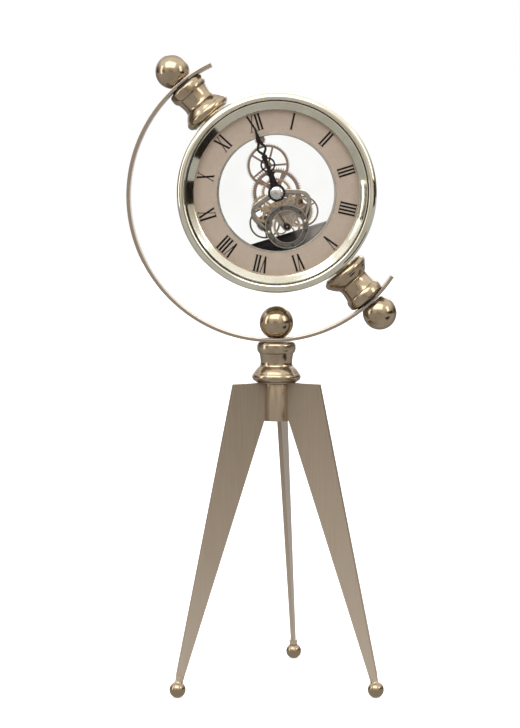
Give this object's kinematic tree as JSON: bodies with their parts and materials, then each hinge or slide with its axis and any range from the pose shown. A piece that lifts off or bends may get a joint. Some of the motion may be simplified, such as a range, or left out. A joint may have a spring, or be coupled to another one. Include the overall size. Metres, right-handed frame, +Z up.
{
  "type": "skeleton clock",
  "caption": "Skeleton clock: a round drum with an open dial swivels on turned posts in a C-shaped band over a flat-legged tripod.",
  "frame": {"origin": "centre of the bounding box at table level, under the clock", "axes": "+Z up, -Y towards the viewer of the dial, +X to the viewer's right"},
  "size_m": [0.2026, 0.1386, 0.4773],
  "materials": {
    "champagne_polished": "polished nickel-bronze plating",
    "champagne_brushed": "brushed nickel-bronze plating",
    "black_rubber": "matt",
    "steel": "satin",
    "pale_gold": "mirror polished",
    "case_champagne": "satin",
    "clear_glass": "polished",
    "clear_acrylic": "polished",
    "dial_rose": "cross-brushed satin",
    "ink": "printed",
    "silver_trim": "polished",
    "gunmetal": "polished dark",
    "hand_black": "satin",
    "gear_gold": "satin",
    "gear_rose": "satin",
    "gear_grey": "satin",
    "segment_mirror": "mirror polished",
    "housing_black": "moulded",
    "battery_wrap": "gloss wrap",
    "copper_coil": "enamelled wire",
    "board_green": "solder mask",
    "gear_white": "moulded",
    "magnet_dark": "sintered"
  },
  "bodies": {
    "stand": {"leg_hub": "champagne_brushed", "leg_left": "champagne_brushed", "leg_right": "champagne_brushed", "leg_rear": "champagne_brushed", "foot_balls": "champagne_polished", "threaded_studs": "steel", "stand_collar": "champagne_polished", "stand_ball": "champagne_polished", "arc_band": "champagne_brushed", "upper_ball": "champagne_polished", "lower_ball": "champagne_polished", "post_washers": "black_rubber", "upper_post": "champagne_polished", "lower_post": "champagne_polished"},
    "drum": {"drum_case": "case_champagne", "trunnion_pins": "steel", "front_bezel": "pale_gold", "glass_gasket": "black_rubber", "front_glass": "clear_glass", "reflector_ring": "pale_gold", "dial_ring": "dial_rose", "roman_numerals": "ink", "dial_trim": "silver_trim", "front_plate": "clear_acrylic", "plate_pillars": "gear_gold", "back_plate": "clear_acrylic", "front_bridge": "gunmetal", "seconds_dial": "gunmetal", "seconds_marks": "ink", "seconds_dial_screws": "gear_gold", "segment_plate": "segment_mirror", "battery_housing": "housing_black", "battery": "battery_wrap", "battery_contacts": "steel", "train_bridge": "gunmetal", "stator": "steel", "coil": "copper_coil", "circuit_board": "board_green", "rear_glass": "clear_glass", "rear_ring": "case_champagne", "rear_screws": "steel", "door_hinge_pin": "steel"},
    "battery_door": {"battery_door": "case_champagne"},
    "minute_arbor": {"centre_arbor": "steel", "minute_hand": "hand_black", "hand_nut": "silver_trim", "setting_knob": "hand_black"},
    "hour": {"hour_wheel": "gear_gold", "hour_hand": "hand_black"},
    "minute_wheel": {"minute_wheel": "gear_gold"},
    "seconds": {"seconds_wheel": "gear_gold", "seconds_hand": "hand_black"},
    "centre_wheel": {"centre_wheel": "gear_rose"},
    "third_wheel": {"third_wheel": "gear_gold"},
    "intermediate_wheel": {"intermediate_wheel": "gear_white"},
    "rotor": {"rotor": "magnet_dark"},
    "top_wheel": {"top_wheel": "gear_rose"},
    "top_pinion": {"top_pinion": "gear_grey"},
    "left_wheel": {"left_wheel": "gear_grey"},
    "right_wheel": {"right_wheel": "gear_rose"}
  },
  "joints": [
    {"name": "case_swivel", "type": "hinge", "parent": "stand", "child": "drum", "pos_m": [0.01079, -0.02065, 0.3744], "axis": [-0.6534, 0, 0.757], "continuous": true},
    {"name": "door_hinge", "type": "hinge", "parent": "drum", "child": "battery_door", "pos_m": [0.02726, 0.00025, 0.32151], "axis": [-0.9548, 0, -0.2974], "range_deg": [0, 95]},
    {"name": "hand_setting", "type": "hinge", "parent": "drum", "child": "minute_arbor", "pos_m": [0.01079, -0.02065, 0.3744], "axis": [0, 1, 0], "continuous": true},
    {"name": "hour_spin", "type": "hinge", "parent": "drum", "child": "hour", "pos_m": [0.01079, -0.02065, 0.3744], "axis": [0, 1, 0], "continuous": true},
    {"name": "minute_wheel_spin", "type": "hinge", "parent": "drum", "child": "minute_wheel", "pos_m": [0.00275, -0.02065, 0.36257], "axis": [0, 1, 0], "continuous": true},
    {"name": "seconds_spin", "type": "hinge", "parent": "drum", "child": "seconds", "pos_m": [0.01861, -0.02065, 0.34929], "axis": [0, 1, 0], "continuous": true},
    {"name": "centre_wheel_spin", "type": "hinge", "parent": "drum", "child": "centre_wheel", "pos_m": [0.01079, -0.02065, 0.3744], "axis": [0, 1, 0], "continuous": true},
    {"name": "third_wheel_spin", "type": "hinge", "parent": "drum", "child": "third_wheel", "pos_m": [0.02619, -0.02065, 0.36058], "axis": [0, 1, 0], "continuous": true},
    {"name": "intermediate_spin", "type": "hinge", "parent": "drum", "child": "intermediate_wheel", "pos_m": [0.01496, -0.02065, 0.36099], "axis": [0, 1, 0], "continuous": true},
    {"name": "rotor_spin", "type": "hinge", "parent": "drum", "child": "rotor", "pos_m": [0.01751, -0.02065, 0.36772], "axis": [0, 1, 0], "continuous": true},
    {"name": "top_wheel_spin", "type": "hinge", "parent": "drum", "child": "top_wheel", "pos_m": [0.00442, -0.02065, 0.39483], "axis": [0, 1, 0], "continuous": true},
    {"name": "top_pinion_spin", "type": "hinge", "parent": "drum", "child": "top_pinion", "pos_m": [-0.00153, -0.02065, 0.41393], "axis": [0, 1, 0], "continuous": true},
    {"name": "left_wheel_spin", "type": "hinge", "parent": "drum", "child": "left_wheel", "pos_m": [0.00197, -0.02065, 0.35163], "axis": [0, 1, 0], "continuous": true},
    {"name": "right_wheel_spin", "type": "hinge", "parent": "drum", "child": "right_wheel", "pos_m": [0.03097, -0.02065, 0.36066], "axis": [0, 1, 0], "continuous": true}
  ],
  "couplings": [
    {"joint": "hour_spin", "follows": "hand_setting", "ratio": 0.083333},
    {"joint": "minute_wheel_spin", "follows": "hand_setting", "ratio": -0.33333},
    {"joint": "third_wheel_spin", "follows": "seconds_spin", "ratio": -0.13333},
    {"joint": "centre_wheel_spin", "follows": "seconds_spin", "ratio": 0.016667},
    {"joint": "intermediate_spin", "follows": "seconds_spin", "ratio": -6},
    {"joint": "rotor_spin", "follows": "seconds_spin", "ratio": 30},
    {"joint": "top_wheel_spin", "follows": "seconds_spin", "ratio": -0.005625},
    {"joint": "top_pinion_spin", "follows": "seconds_spin", "ratio": 0.0225},
    {"joint": "left_wheel_spin", "follows": "seconds_spin", "ratio": -1.6667},
    {"joint": "right_wheel_spin", "follows": "seconds_spin", "ratio": -1.6667}
  ]
}
